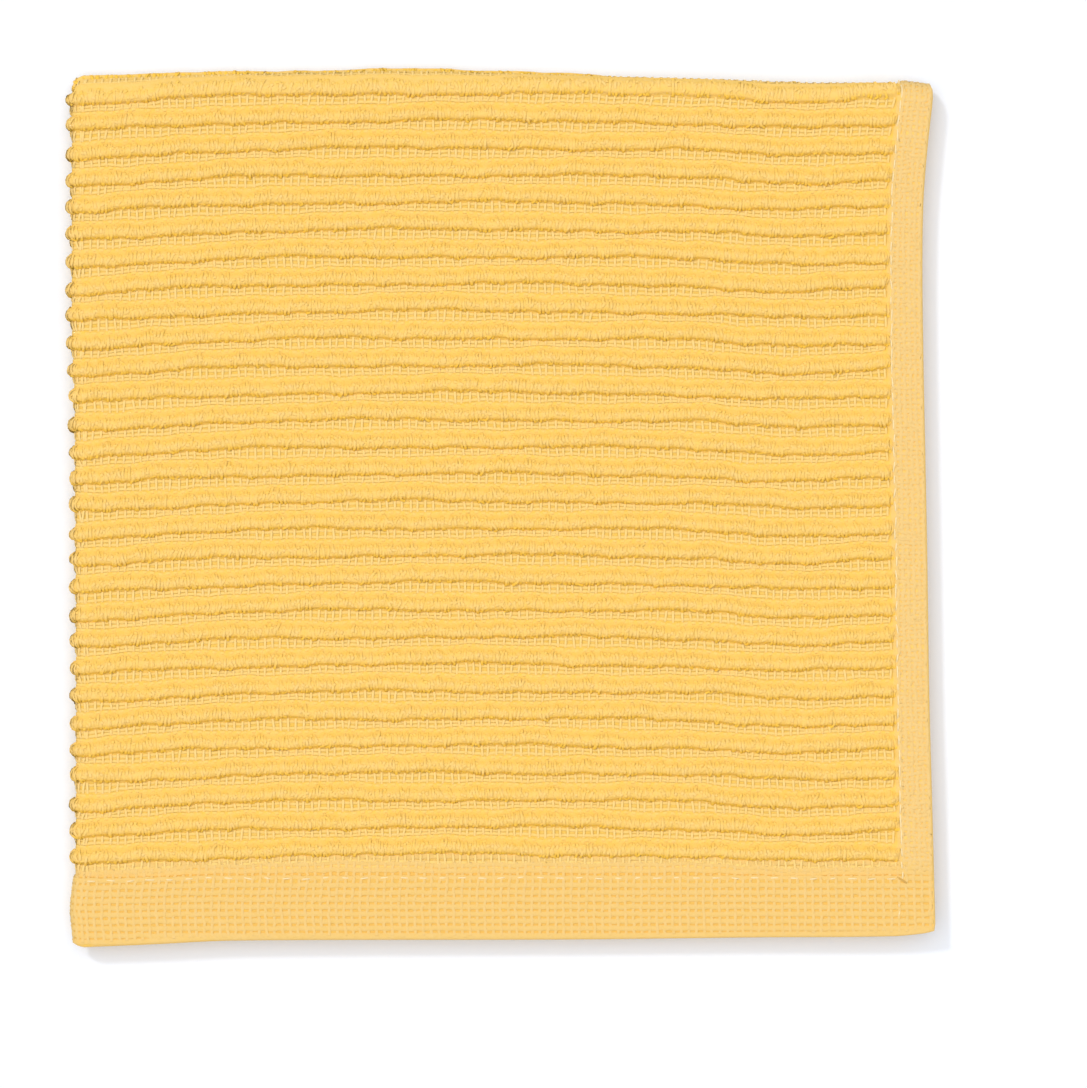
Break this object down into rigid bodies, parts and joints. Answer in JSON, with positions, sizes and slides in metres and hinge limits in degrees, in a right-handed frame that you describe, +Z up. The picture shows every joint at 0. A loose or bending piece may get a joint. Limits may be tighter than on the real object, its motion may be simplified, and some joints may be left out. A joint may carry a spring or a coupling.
{
  "type": "folded ribbed dishcloth",
  "caption": "Ribbed terry dishcloth folded in quarters and lying flat, with hemmed edges, for wiping and drying dishes.",
  "frame": {"origin": "on the surface the cloth lies on, under the middle of the folded cloth", "axes": "+Z up through the folded layers, +X across the cloth from the left fold to the free side hems, +Y from the free end hems to the top fold"},
  "size_m": [0.1642, 0.1662, 0.0088],
  "materials": {
    "terry": "dry looped cotton pile, matt, warm yellow"
  },
  "bodies": {
    "root": {"cloth": "terry"}
  },
  "joints": []
}
